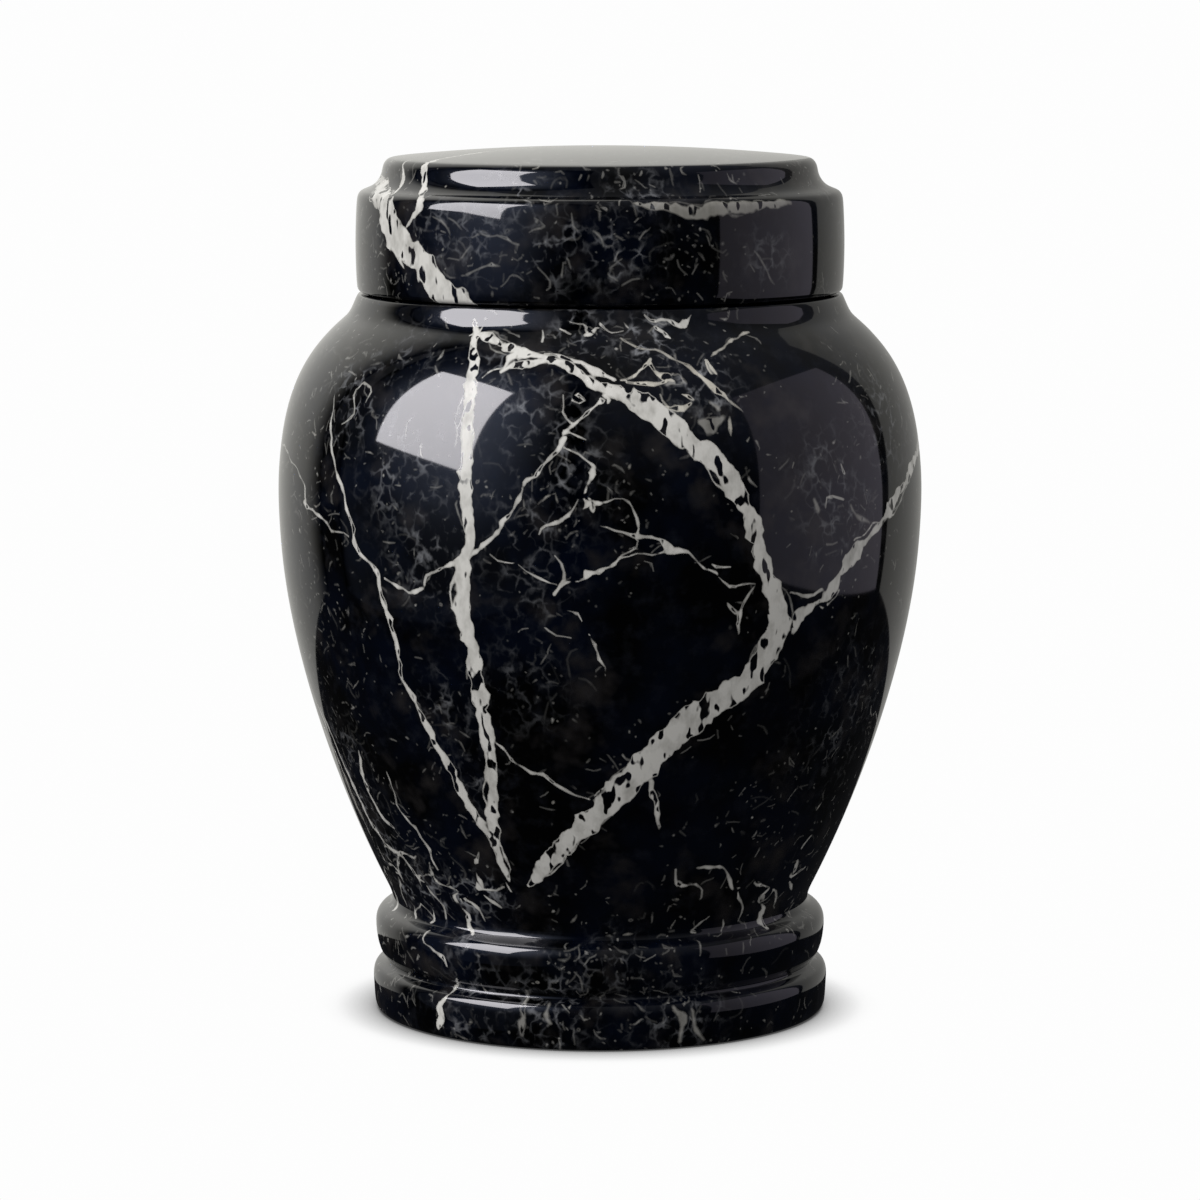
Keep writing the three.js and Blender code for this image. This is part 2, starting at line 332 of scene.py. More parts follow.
# %% Thin veins of the front
BODY_THREADS = {
    # Strands beside the start of the arc, and the slanting vein's upper end
    "arc_upper": [(-11, 243, 0.8), (-8, 241.5, 0.9), (-5, 240, 1.0), (-1, 236.5, 1.1), (3, 233, 1.3)],
    "arc_lower": [(-19, 236, 0.9), (-17, 238, 1.5), (-14, 239, 1.6), (-9.5, 241, 1.5)],
    "arc_knot": [(-18.5, 237, 1.0), (-18, 240.5, 1.5), (-17, 244, 1.4)],
    "dash": [(-29, 249, 0.7), (-26.5, 253, 0.5)],
    "hook_top": [(-22.5, 233, 0.3), (-21, 235.5, 0.5), (-19, 237, 0.6)],
    "slant_top": [(1, 226, 0.9), (2, 228, 1.3), (1, 227.5, 1.2), (0, 225, 0.8), (-2, 222, 0.6),
                  (-4, 219, 0.6), (-6, 215.5, 1.2)],
    "slant_side": [(-7, 228, 0.35), (-6.5, 222, 0.45), (-5, 219, 0.6)],
    "ring": [(-4, 228.5, 0.4), (-3, 227, 0.35), (-4, 225, 0.4), (-5, 227, 0.35), (-4, 228.5, 0.4)],
    "bow": [(-6, 215.5, 0.5), (-4, 215, 0.5), (-2, 214.5, 0.4)],
    # The neck
    "neck_a": [(-7, 256, 0.4), (-3.5, 254, 0.5), (-3, 249.5, 0.7), (0, 254, 0.6), (2, 252, 0.4),
               (5, 252.5, 0.3)],
    "neck_b": [(-9, 253, 0.3), (-6.5, 251, 0.8)],
    "neck_c": [(-12.5, 253, 0.5), (-12, 247.5, 0.6)],
    "neck_d": [(5, 255.5, 0.5), (6.5, 253, 0.6)],
    "neck_e": [(10, 257.5, 0.5), (12, 256, 0.6), (16.5, 254.5, 0.9), (18.5, 254, 1.1), (21, 257, 0.4)],
    "neck_f": [(12, 253, 0.8), (15, 249, 1.0)],
    # The net inside the arc
    "net_a": [(-6, 211.5, 0.7), (-5, 210, 0.4), (-3, 208.5, 0.7), (-1, 206, 0.9), (-1, 203, 1.1),
              (-2, 199.5, 0.6), (-3, 196.5, 0.6)],
    "net_b": [(-3, 192, 0.5), (-2, 194, 1.3), (0, 194.5, 1.0), (2, 196, 0.5), (3.5, 196, 0.35),
              (5, 194, 0.35), (6, 190, 0.4), (6, 185, 0.8)],
    "net_c": [(-2, 196.5, 0.4), (-1.5, 194, 1.0), (-1, 191, 0.5)],
    "net_d": [(-10, 184.5, 0.5), (-9, 186.5, 0.6), (-7.5, 188.5, 1.1), (-6, 190, 0.5),
              (-4.5, 192, 0.6), (-4, 196, 0.35)],
    "net_e": [(0, 187, 0.6), (2, 186, 0.5), (3.5, 185.5, 0.6), (6, 184.5, 0.9), (9, 184, 0.5),
              (11, 182, 0.9), (12, 179.5, 1.5), (14.5, 178.5, 0.8), (16, 177, 0.4),
              (17.5, 174, 0.7), (18.5, 173, 0.9)],
    "net_f": [(6, 184.5, 0.5), (6, 181, 0.35), (4, 178, 0.5), (2, 175, 0.9)],
    "net_g": [(3.5, 177, 0.3), (6.5, 179, 0.35), (9.5, 179, 0.35), (11.5, 180, 0.6)],
    "net_h": [(-0.5, 173.5, 1.2), (-2, 173, 0.9), (-3, 171.5, 0.4), (-5, 170, 0.6)],
    "net_i": [(-8, 179, 0.4), (-6.5, 176, 0.5), (-6, 173, 0.7), (-6.5, 169, 0.8), (-8, 166, 0.9)],
    "net_j": [(-14.5, 175, 0.4), (-12, 172.5, 0.6), (-10, 171, 0.4), (-8, 169, 0.5),
              (-7, 168, 0.5)],
    "net_k": [(-19.5, 179, 0.3), (-18, 176, 0.3), (-16, 174.5, 0.4), (-14.5, 175, 0.3)],
    "net_l": [(19, 175.5, 0.4), (20, 174, 0.5), (23, 174, 0.3)],
    "net_m": [(20.5, 171, 0.4), (23, 167, 0.8), (25, 168, 0.4), (27, 168, 0.5)],
    "net_n": [(27, 168, 0.5), (26, 163, 0.5), (25, 158, 0.8), (25, 152, 0.4), (24, 150, 0.4)],
    "net_o": [(22, 162, 0.4), (24, 158.5, 0.6), (25, 158, 0.6)],
    "net_p": [(-6, 161, 0.3), (-3.5, 159, 0.4), (-3, 157, 0.3)],
    "net_q": [(-2.5, 154.5, 0.3), (-1, 150, 0.5), (0, 145, 0.5), (1, 139, 0.3)],
    "net_r": [(2, 175, 0.6), (-0.5, 173.5, 0.9)],
    "net_s": [(-5, 170, 0.5), (-6.5, 169, 0.7)],
    "net_t": [(-3, 196.5, 0.5), (-2, 194, 0.9)],
    "net_u": [(18.5, 173, 0.6), (20.5, 171, 0.4)],
    "drop_b": [(-9.5, 156, 0.5), (-8, 153, 0.5), (-5, 152.5, 0.3)],
    # Beside the right vein
    "right_strand": [(34.5, 164, 0.5), (38, 163, 0.7), (42, 164, 1.2)],
    "right_patch": [(37.5, 158, 1.6), (37, 155, 1.4), (36, 151, 0.8)],
    "side_a": [(46, 203, 0.6), (47, 200, 0.7)],
    "side_c": [(42, 190, 0.4), (43, 193, 0.5), (47, 191.5, 0.9)],
    # The lower front
    "fork": [(-20, 117, 0.5), (-17.5, 111.5, 0.6), (-14, 107, 0.7), (-10, 104.5, 0.6), (-7, 100, 0.5),
             (-2, 97.5, 0.5)],
    "spur": [(9.8, 104.5, 1.1), (11.5, 95.5, 0.9), (13, 86, 0.6)],
}
print(len(BODY_THREADS), "thin veins on the front")

# %% Thin veins of the left side and the foot
BODY_THREADS |= {
    # The left side
    "loop": [(-53, 214.5, 0.4), (-50, 218, 0.5), (-51, 224, 0.5), (-50, 229, 0.5), (-47, 226.5, 0.5),
             (-47.5, 222.5, 0.4)],
    "hook": [(-92, 206, 0.3), (-76, 203, 0.4), (-64.5, 195, 0.4), (-63, 187.5, 0.8), (-57, 185, 0.5),
             (-52.5, 181, 0.4), (-49, 180.5, 0.3)],
    "streak_a": [(-74, 118, 0.6), (-70, 105, 0.9), (-68, 92, 1.1), (-66, 82, 1.0), (-62, 73, 0.8),
                 (-57, 71, 0.7)],
    "streak_d": [(-80, 128, 0.5), (-74, 112, 0.8), (-73, 98, 0.9), (-72, 86, 0.8), (-70, 72, 0.6)],
    "streak_b": [(-58, 107, 0.9), (-60, 94.5, 1.1), (-57.5, 84, 1.1), (-53.5, 80, 0.9)],
    "streak_c": [(-49.5, 102, 0.6), (-48.5, 88, 0.6), (-43.5, 77.5, 0.7), (-43, 67, 0.6)],
    # The waist and the foot
    "waist_a": [(-45, 64, 0.4), (-44.5, 61.5, 0.6), (-40.5, 61, 0.4), (-38, 59, 0.6)],
    "waist_b": [(-49.5, 61, 0.4), (-49, 58, 0.7), (-46.5, 55, 0.5), (-45.5, 52, 0.7),
                (-46, 48, 0.4)],
    "waist_c": [(-38, 59, 0.7), (-40, 57, 0.5), (-39.5, 54.5, 0.6), (-36.5, 56, 0.4),
                (-36, 58, 0.5)],
    "waist_d": [(-36.5, 58, 0.6), (-33.5, 55, 0.7), (-32.5, 51, 0.5), (-31.5, 49, 0.3)],
    "waist_e": [(-38.5, 53, 0.7), (-37, 50.5, 1.4), (-37.5, 47, 1.4), (-36, 42, 1.2)],
    "waist_f": [(-56, 51, 0.5), (-61, 46.5, 0.4), (-59.5, 44, 0.4)],
    "waist_g": [(-51, 50, 0.4), (-51, 47, 0.6), (-52, 44, 0.6)],
    "waist_h": [(-30.5, 68, 0.6), (-30, 65, 1.0), (-30.5, 62, 0.9), (-27, 62, 0.5), (-24, 64, 0.8)],
    "waist_i": [(-30, 59.5, 0.6), (-28, 57, 1.0), (-25.5, 55, 0.5)],
    "waist_j": [(-29, 76, 0.6), (-30.5, 72, 0.7)],
    "waist_k": [(-23, 65, 0.6), (-22, 62, 0.6)],
    "waist_l": [(-63, 71, 0.6), (-57, 70.5, 0.7), (-54.5, 68.5, 0.6), (-53, 65, 0.9),
                (-51, 61, 0.6), (-49, 61, 0.4)],
    "waist_m": [(-68, 71, 0.5), (-67, 65, 0.7), (-65, 64.5, 0.7), (-60.5, 63, 0.5),
                (-60.5, 58, 0.6)],
    "collar": [(-50, 40.5, 0.6), (-50.5, 35.5, 0.5), (-46, 34, 0.6), (-43, 32, 0.8),
               (-42, 28.5, 0.8)],
    "plinth_a": [(-39, 25, 0.7), (-41, 19, 0.9), (-41, 17, 0.5), (-42, 14, 1.0), (-44, 11, 1.5),
                 (-43, 8, 1.5), (-44, 4, 1.0)],
}
print(len(BODY_THREADS), "thin veins with those")

# %% Cream threads and thin skins
CREAM_THREADS = {
    "cream_a": [(4, 249.5, 0.6), (8, 245, 0.6), (13.5, 242, 0.5), (17, 238.5, 0.7), (20, 232, 1.0),
                (21.5, 229, 1.2), (23, 227.5, 0.8)],
    "cream_b": [(22, 241, 0.5), (24, 243, 0.5), (28, 246.5, 0.5), (34, 250, 0.7)],
    "cream_c": [(21.5, 240, 0.4), (21.5, 237, 0.7), (23, 234, 0.9)],
    "cream_d": [(5, 232.5, 0.9), (8, 231.5, 0.8), (11.5, 232, 0.7), (14, 235, 0.9)],
    "cream_e": [(11, 228.5, 0.5), (12, 225, 0.8), (14.5, 223.5, 0.9), (17, 225, 0.6)],
    "cream_f": [(23, 220, 0.7), (23, 215.5, 0.9), (23, 213, 0.5)],
    "cream_g": [(10, 241, 0.5), (8.5, 238, 0.6), (6, 234.5, 0.6), (4, 232.5, 0.8)],
    "cream_h": [(10, 240, 0.6), (10, 238, 0.5), (11, 235, 0.8), (13.5, 233, 1.5), (16, 234, 0.8)],
    "cream_i": [(15, 229, 0.4), (16.5, 226, 0.6), (17, 225, 0.6)],
    "cream_j": [(21, 240, 0.4), (21, 236, 0.5), (22, 234, 0.6)],
    "cream_k": [(23, 228, 0.7), (24.5, 224.5, 0.6), (26, 221, 0.4)],
}
# Thin skins of calcite that let the dark stone through
BODY_HAZE = {
    "haze_a": [(12.5, 231.5, 2.0), (15, 233, 2.2), (16, 232, 1.2)],
    "haze_b": [(20, 225, 1.6), (22, 223, 1.4)],
    "haze_c": [(18, 219, 2.2), (20, 218, 2.6), (22, 220, 1.4)],
    "haze_d": [(39, 193, 0.9), (40, 189, 1.3)],
    "plinth_c": [(18, 15, 1.2), (20, 11, 1.3), (20, 4, 0.9)],
    "plinth_d": [(23, 14, 0.8), (24, 7.5, 0.9), (26.5, 3.5, 0.7)],
    "plinth_b": [(-19, 24, 0.6), (-19, 16, 1.2), (-19, 12.5, 1.1), (-19.5, 10, 1.5), (-19, 6, 0.9)],
    "plinth_e": [(-13, 17.5, 0.6), (-13, 13, 0.7), (-12, 10, 0.7)],
    "haze_f": [(-78, 112, 2.4), (-74, 96, 3.0), (-71, 80, 2.6)],
    "haze_e": [(48.5, 190, 0.6), (51, 185, 1.1), (54, 183.5, 0.8)],
}
print(len(CREAM_THREADS), "cream threads and", len(BODY_HAZE), "skins")

# %% [markdown]
# ## Veins of the lid
# The lid has veins of its own. One broad vein crosses the band, a thinner one runs over the crown
# to the back, and a cream one lies along the upper edge of the band. The curls are fine cracks.

# %% Veins of the lid
LID_VEINS = {
    "main": [(-118, 36, 0.4), (-100, 39, 1.1), (-84, 41, 1.6), (-74, 40, 2.2), (-68, 37, 3.0),
             (-62, 33, 3.9), (-59, 30, 4.6), (-57.5, 26, 5.3), (-54, 21.5, 5.5), (-50, 18, 4.3),
             (-45, 14, 5.0), (-42.5, 10, 4.5), (-39, 6, 5.1), (-35, 3.5, 4.9), (-31, 0.5, 4.3)],
    "shard": [(-54, 21, 2.0), (-53, 16, 1.4), (-51, 12, 0.7)],
    "branch": [(168, 30, 1.4), (168, 52, 1.2), (170, 66, 1.1), (178, 80, 1.0), (195, 92, 0.8),
               (230, 100, 0.7), (274, 92, 0.7), (294, 74, 0.9), (302, 60, 1.1), (306, 52, 1.3),
               (309, 43, 1.6), (311, 38, 1.4), (314, 32, 1.7), (312, 28, 1.2), (310, 25, 0.7)],
    "faint": [(-66, 52, 0.6), (-64, 47.5, 0.8), (-61, 42, 1.0), (-60.5, 38, 0.9), (-59, 35, 0.8)],
    "lid_back": [(168, 30, 1.5), (164, 22, 1.7), (160, 14, 1.6), (152, 7, 1.3), (147, 1, 1.0)],
    "lid_side": [(94, 4, 0.6), (99, 14, 0.9), (103, 24, 1.1), (106, 33, 0.9), (109, 44, 0.7),
                 (118, 62, 0.5)],
}
LID_THREADS = {
    "curl_a": [(-37, 29, 0.3), (-33, 25, 0.4)],
    "curl_b": [(-30.5, 23, 0.3), (-25.5, 24, 0.4), (-22, 23, 0.5), (-18.5, 21, 0.5), (-19, 18, 0.4)],
    "curl_c": [(-33, 10, 0.3), (-29, 13, 0.4), (-25, 15, 0.5), (-22.5, 14, 0.3)],
    "curl_d": [(-2, 25, 0.3), (0, 23, 0.4), (0.5, 20, 0.4)],
    "curl_e": [(5, 17, 0.3), (2, 13, 0.35), (4, 10, 0.4)],
    "curl_f": [(5, 9, 0.4), (7, 10, 0.3), (9, 11, 0.3)],
    "curl_g": [(-5, 26, 0.3), (-6, 28, 0.3), (-7, 31, 0.25)],
    "curl_h": [(37, 18, 0.3), (38.5, 16, 0.6), (40, 14, 0.3), (42, 10, 0.25), (44, 7, 0.3)],
    "curl_i": [(-14, 14, 0.3), (-11, 9, 0.35), (-12, 7, 0.3)],
    "curl_j": [(-9, 11, 0.3), (-8, 16, 0.3), (-6, 13, 0.3)],
    "curl_k": [(-15, 29, 0.3), (-13, 27, 0.4), (-16, 25, 0.3)],
    "curl_l": [(-42, 29, 0.25), (-38, 27, 0.3), (-36, 23, 0.25)],
    "curl_m": [(-37, 15, 0.25), (-33, 17, 0.3), (-30, 21, 0.25)],
    "curl_n": [(-23, 8, 0.3), (-20, 11, 0.3), (-17, 9, 0.25)],
}
LID_CREAM = {
    "cream": [(7.8, 34, 0.8), (12, 32.5, 1.4), (16, 32.5, 2.0), (20.5, 31, 2.2), (24, 30.5, 2.5),
              (28, 32, 2.4), (33.5, 32, 2.0), (41, 32.5, 1.7), (49.5, 33, 1.0)],
}
print(len(LID_VEINS) + len(LID_THREADS) + len(LID_CREAM), "veins on the lid")

# %% [markdown]
# ## From a route to a crack
# A crack never runs true. Each route becomes a smooth line cut into short steps, and then the
# line sways, swells and thins by a smooth noise, and tapers at both ends. Moving single points
# at random would make a saw of it. A thin crack swells more for its size than a broad one.

# %% Follow a route
STEP_MM = 0.5
# One degree round the body is about this long.
MM_PER_DEGREE = 1.6
SWAY_MM, SHIVER_MM, TAPER_MM, LEAST_HALF_MM = 1.1, 0.4, 3.0, 0.12
SLOW_MM, QUICK_MM = 5.0, 1.7
SLOW_SWELL, QUICK_SWELL, SHRINK, TIP, TIP_RISE = 0.9, 1.2, 0.1, 0.55, 0.45
# A vein under PINCHED_MM in half width is pinched between its points, by up to PINCH of its width.
PINCH, PINCHED_MM = 0.35, 1.6


def through(route):
    """A smooth line through the points of a route, cut into short steps."""
    p = np.array(route, float)
    p = np.vstack([2 * p[0] - p[1], p, 2 * p[-1] - p[-2]])
    line = []
    for a, b, c, d in zip(p, p[1:], p[2:], p[3:]):
        steps = max(2, int(math.hypot((c[0] - b[0]) * MM_PER_DEGREE, c[1] - b[1]) / STEP_MM))
        for t in np.arange(steps) / steps:
            spot = 0.5 * (2 * b + (c - a) * t + (2 * a - 5 * b + 4 * c - d) * t * t
                          + (3 * b - a - 3 * c + d) * t ** 3)
            spot[2] *= 1 - PINCH * math.sin(math.pi * t) * min(1.0, max(0.0, PINCHED_MM - spot[2]))
            line.append(spot)
    return line + [p[-2]]


def cracked(route, seed):
    """The line of a route as (degrees, tape, half width), unsteady as a crack is."""
    line = through(route)
    for i, (degrees, run, half) in enumerate(line):
        # Every route reads the noise in a place of its own.
        slow = Vector((i * STEP_MM / SLOW_MM, seed * 3.7, 0.0))
        quick = Vector((i * STEP_MM / QUICK_MM, seed * 5.3, 7.0))
        lift = Vector((0, 0, 9.1))
        # A broad vein sways and swells less for its size than a thin one.
        sway = SWAY_MM / (0.6 + 0.4 * half)
        aside = sway * noise.noise(slow) + SHIVER_MM * noise.noise(quick)
        up = sway * noise.noise(slow + lift) + SHIVER_MM * noise.noise(quick + lift)
        swell = SLOW_SWELL * noise.noise(slow * 1.5 - lift) + QUICK_SWELL * noise.noise(quick - lift)
        swell -= SHRINK
        swell = 2 ** (swell / (0.65 + 0.4 * half))
        from_end = min(i, len(line) - 1 - i)
        taper = min(1.0, TIP + TIP_RISE * from_end / min(TAPER_MM / STEP_MM, len(line) / 3))
        yield degrees + aside / MM_PER_DEGREE, run + up, max(LEAST_HALF_MM, half * swell * taper)


print(len(through(BODY_VEINS["arc"])), "steps along the arc")

# %% [markdown]
# ## Flecks
# Between the veins the stone is sown with short crystals: dots, rods, hooks and faint arcs. They
# are far too many to draw, so they are grown from a fixed seed: each sets off in some direction
# and turns a little at every step. They crowd in some places and leave others bare, and they keep
# clear of the drawn veins, whose edges stay clean. A route is kept with how white it is, from 0
# to 1, and how creamy.

# %% Grow one short crack
chance = random.Random(41)
# How much a crack curls and wanders at each step, in radians, and how much its width varies.
CURL, WANDER, VARY, SMALLEST_RADIUS_MM = 0.6, 0.4, (0.6, 1.5), 8.0


def grown(tape, place, heading, steps, step_mm, half):
    """One short route that wanders off from a place."""
    degrees, run = place
    curl = chance.uniform(-CURL, CURL)
    route = [(degrees, run, half)]
    for _ in range(steps):
        radius = max(SMALLEST_RADIUS_MM, np.interp(run, tape[0], tape[1]))
        degrees += math.degrees(math.cos(heading) * step_mm / radius)
        run += math.sin(heading) * step_mm
        heading += curl + chance.uniform(-WANDER, WANDER)
        route.append((degrees, run, half * chance.uniform(*VARY)))
    return route


print("a crack curls by up to", round(math.degrees(CURL + WANDER)), "degrees a step")

# %% Sow the flecks
# Kind: how many on a square centimetre, steps, length of a step in mm, half width in mm, whiteness.
FLECKS = {
    "dot": (1.05, 1, (0.2, 0.6), (0.18, 0.5), (0.12, 0.79)),
    "rod": (0.65, 2, (0.45, 1.1), (0.16, 0.36), (0.25, 0.79)),
    "hook": (0.75, 4, (0.6, 1.5), (0.13, 0.3), (0.2, 0.79)),
    "arc": (0.12, 6, (1.2, 2.0), (0.12, 0.3), (0.06, 0.18)),
}
CLUSTER_MM, CLEAR_MM = 24.0, 1.6
# How likely a fleck is on the whole, how much that changes from cluster to cluster, and the tries
# that make up for those that are dropped.
LIKELY, LIKELY_SWING, TRIES = 0.5, 1.1, 2
# Degrees between which the left flank has more flecks, and how much more likely they are there.
FLANK_FROM, FLANK_TO, FLANK_MORE = -105, -50, 0.8
# One fleck in four is creamy.
CREAMINESS = (0, 0, 0, 0.5)
# Places with hardly a fleck, as degrees, tape in mm, and reach in mm.
BODY_BARE = [(12, 148, 24), (16, 190, 12)]


def search_tree(points):
    """A tree that finds the points near a place."""
    tree = kdtree.KDTree(len(points))
    for i, point in enumerate(points):
        tree.insert(point, i)
    tree.balance()
    return tree


def charted(tape, routes):
    """A search tree of the drawn veins, and the half width at each of its points."""
    steps = [step for route, _, _ in routes for step in through(route)]
    tree = search_tree([on_surface(tape, degrees, run) for degrees, run, _ in steps])
    return tree, [half for _, _, half in steps]


def flecks(tape, crowd, drawn, bare):
    """Flecks all over a piece but clear of the drawn veins, thicker in some places than in others."""
    run, radius, _ = tape
    tree, halves = charted(tape, drawn)
    area_cm2 = np.sum(math.pi * (radius[1:] + radius[:-1]) * np.diff(run)) / 100
    for per_cm2, steps, step_mm, half, whiteness in FLECKS.values():
        for _ in range(int(per_cm2 * crowd * area_cm2 * TRIES)):
            place = chance.uniform(-180, 180), chance.uniform(1, run[-1])
            here = Vector(on_surface(tape, *place))
            likely = LIKELY + LIKELY_SWING * noise.noise(here / CLUSTER_MM)
            likely += FLANK_MORE * (FLANK_FROM < place[0] < FLANK_TO)
            for degrees, up, reach in bare:
                gap = (here - Vector(on_surface(tape, degrees, up))).length
                likely -= math.exp(-(gap / reach) ** 2)
            likely *= np.interp(place[1], run, radius) / radius.max()
            route = grown(tape, place, chance.uniform(0, math.tau), steps, chance.uniform(*step_mm),
                          chance.uniform(*half))
            white, creamy = chance.uniform(*whiteness), chance.choice(CREAMINESS)
            _, i, gap = tree.find(here)
            if chance.random() < likely and gap > halves[i] + CLEAR_MM:
                yield route, white, creamy


print("flecks come as", ", ".join(FLECKS))

# %% [markdown]
# ## Twigs and splinters
# A crack seldom ends clean. Twigs stand off the thin veins. A broad vein sheds splinters, strands
# that leave it, run beside it and join it again, with a sliver of black between. Both are grown
# along the drawn routes, so they follow any change to those.

# %% Grow twigs and splinters
# Veins up to TWIGGED_MM in half width carry twigs, and those over SPLIT_MM shed splinters.
TWIGGED_MM, SPLIT_MM = 1.7, 2.2
TWIG_EVERY_MM, TWIG_STEPS, TWIG_STEP_MM, TWIG_HALF_MM = 10, 4, (0.6, 1.5), 0.2
TWIG_TURN, TWIG_WHITE = (0.5, 1.3), (0.25, 0.7)
# A splinter's length in steps of the vein, how far apart its points are, its bow and its half width.
SPLINTER_EVERY_MM, SPLINTER_STEPS, SPLINTER_STRIDE = 20, (14, 44), 5
SPLINTER_BOW_MM, SPLINTER_HALF_MM, SPLINTER_WHITE = (0.7, 1.7), (0.2, 0.5), (0.6, 1.0)


def heading_of(step, following):
    """Direction from one step of a vein to the next."""
    return math.atan2(following[1] - step[1], (following[0] - step[0]) * MM_PER_DEGREE)


def twigs(tape, routes):
    """Short twigs that stand off the thinner drawn routes."""
    for route, whiteness, cream in routes:
        line = through(route)
        if max(half for _, _, half in line) > TWIGGED_MM:
            continue
        for _ in range(int(len(line) * STEP_MM / TWIG_EVERY_MM)):
            i = chance.randrange(len(line) - 1)
            degrees, run, half = line[i]
            heading = heading_of(line[i], line[i + 1])
            heading += chance.choice((-1, 1)) * chance.uniform(*TWIG_TURN)
            twig = grown(tape, (degrees, run), heading, TWIG_STEPS, chance.uniform(*TWIG_STEP_MM),
                         min(TWIG_HALF_MM, 0.5 * half))
            yield twig, whiteness * chance.uniform(*TWIG_WHITE), cream


def splinters(routes):
    """Thin strands that leave a broad vein, run beside it and join it again."""
    for route, whiteness, cream in routes:
        line = through(route)
        if max(half for _, _, half in line) <= SPLIT_MM:
            continue
        for _ in range(int(len(line) * STEP_MM / SPLINTER_EVERY_MM)):
            long = chance.randrange(*SPLINTER_STEPS)
            i = chance.randrange(max(1, len(line) - long))
            side, bow = chance.choice((-1, 1)), chance.uniform(*SPLINTER_BOW_MM)
            stretch = line[i:i + long]
            strand = []
            for k in range(0, len(stretch) - 1, SPLINTER_STRIDE):
                degrees, run, half = stretch[k]
                heading = heading_of(stretch[k], stretch[k + 1])
                off = side * (half * 0.8 + bow * math.sin(math.pi * k / len(stretch)))
                strand.append((degrees - math.sin(heading) * off / MM_PER_DEGREE,
                               run + math.cos(heading) * off, chance.uniform(*SPLINTER_HALF_MM)))
            if len(strand) > 2:
                yield strand, whiteness * chance.uniform(*SPLINTER_WHITE), cream


print("twigs on veins up to", TWIGGED_MM, "mm, splinters on those over", SPLIT_MM, "mm in half width")

# %% [markdown]
# ## All the routes together
# The drawn veins are the whitest, and the skins of calcite the faintest. The sides and the back
# carry the same kind of net as the front: it is copied from there, turned round the axis, lowered,
# and on some sides turned over as well, so that no two sides look alike.

# %% Gather the routes
# How white and how creamy.
PLAIN, SHOULDER_CREAM, SIDE_NET = (1.0, 0.0), (0.85, 0.5), (0.9, 0.0)
LID_CURL, BAND_CREAM, SKIN_OF_CALCITE = (0.5, 0.0), (0.42, 0.6), (0.36, 0.4)
# Degrees that the net is turned to, 1 or -1 to turn it over, and mm that it is lifted.
SIDES = {"back": (172, -1, -22), "right side": (86, 1, -58), "left side": (-112, -1, -30)}
BODY_CROWD, LID_CROWD = 1.35, 2.6

drawn_body = [(route, *PLAIN) for route in (*BODY_VEINS.values(), *BODY_THREADS.values())]
drawn_body += [(route, *SHOULDER_CREAM) for route in CREAM_THREADS.values()]
for turn, over, lift in SIDES.values():
    for name, route in BODY_THREADS.items():
        if name.startswith(("net", "drop", "waist", "slant")):
            lift_here = 0 if name.startswith("waist") else lift
            copy = [(turn + over * degrees, run + lift_here, half) for degrees, run, half in route]
            drawn_body.append((copy, *SIDE_NET))
drawn_lid = [(route, *PLAIN) for route in LID_VEINS.values()]
drawn_lid += [(route, *LID_CURL) for route in LID_THREADS.values()]
drawn_lid += [(route, *BAND_CREAM) for route in LID_CREAM.values()]
skins = [(route, *SKIN_OF_CALCITE) for route in BODY_HAZE.values()]
drawn_body += [*splinters(drawn_body)]
drawn_lid += [*splinters(drawn_lid)]
body_routes = [*drawn_body, *skins, *twigs(body_tape, drawn_body)]
body_routes += flecks(body_tape, BODY_CROWD, drawn_body, BODY_BARE)
lid_routes = [*drawn_lid, *twigs(lid_tape, drawn_lid)]
lid_routes += flecks(lid_tape, LID_CROWD, drawn_lid, [])
print(len(body_routes), "routes on the body,", len(lid_routes), "on the lid")

# %% [markdown]
# ## Laying the veins on the mesh
# Painting the veins on the points would need millions of them. Instead each face picks the three
# veins that pass nearest, and each of its corners learns where the middle of each of those
# lies, how wide it is and how white. The material then measures its own distance to the
# middle at every spot it shades, so a vein keeps a crisp edge however far apart the points
# are. The corners of one face all follow the same vein, because a blend between two
# different veins would draw a third one halfway.

# %% Set the steps of all the veins in one row
def all_steps(tape, routes):
    """Middles and kinds of all steps, the vein of each, and the first and last step of that vein."""
    mids, kinds, vein, first, last = [], [], [], [], []
    for n, (route, whiteness, cream) in enumerate(routes):
        line = list(cracked(route, n))
        first += [len(mids)] * len(line)
        last += [len(mids) + len(line) - 2] * len(line)
        vein += [n] * len(line)
        mids += [on_surface(tape, degrees, run) for degrees, run, _ in line]
        kinds += [(half, whiteness, cream) for _, _, half in line]
    return [np.array(values) for values in (mids, kinds, vein, first, last)]


body_steps, lid_steps = all_steps(body_tape, body_routes), all_steps(lid_tape, lid_routes)
print(len(body_steps[0]), "steps on the body,", len(lid_steps[0]), "on the lid")

# %% Pick three veins for each face
LAYERS = ("near", "next", "third")
REACH_MM = 7.0
NONE = -1


def picked(mesh, steps):
    """The nearest step of each of the three nearest veins, for every face."""
    mids, kinds, vein, _, _ = steps
    tree, halves, vein = search_tree(mids), kinds[:, 0].tolist(), vein.tolist()
    choice = np.empty((len(LAYERS), len(mesh.polygons)), int)
    for n, face in enumerate(mesh.polygons):
        closest = {}
        for _, i, gap in tree.find_range(face.center / MM, REACH_MM):
            closest[vein[i]] = min(closest.get(vein[i], (math.inf, 0)), (gap - halves[i], i))
        ranked = [i for _, i in sorted(closest.values())[:len(LAYERS)]]
        choice[:, n] = ranked + [NONE] * (len(LAYERS) - len(ranked))
    return choice


body_picked, lid_picked = picked(body.data, body_steps), picked(lid.data, lid_steps)
print(int((body_picked[0] != NONE).sum()), "faces of the body have a vein nearby")

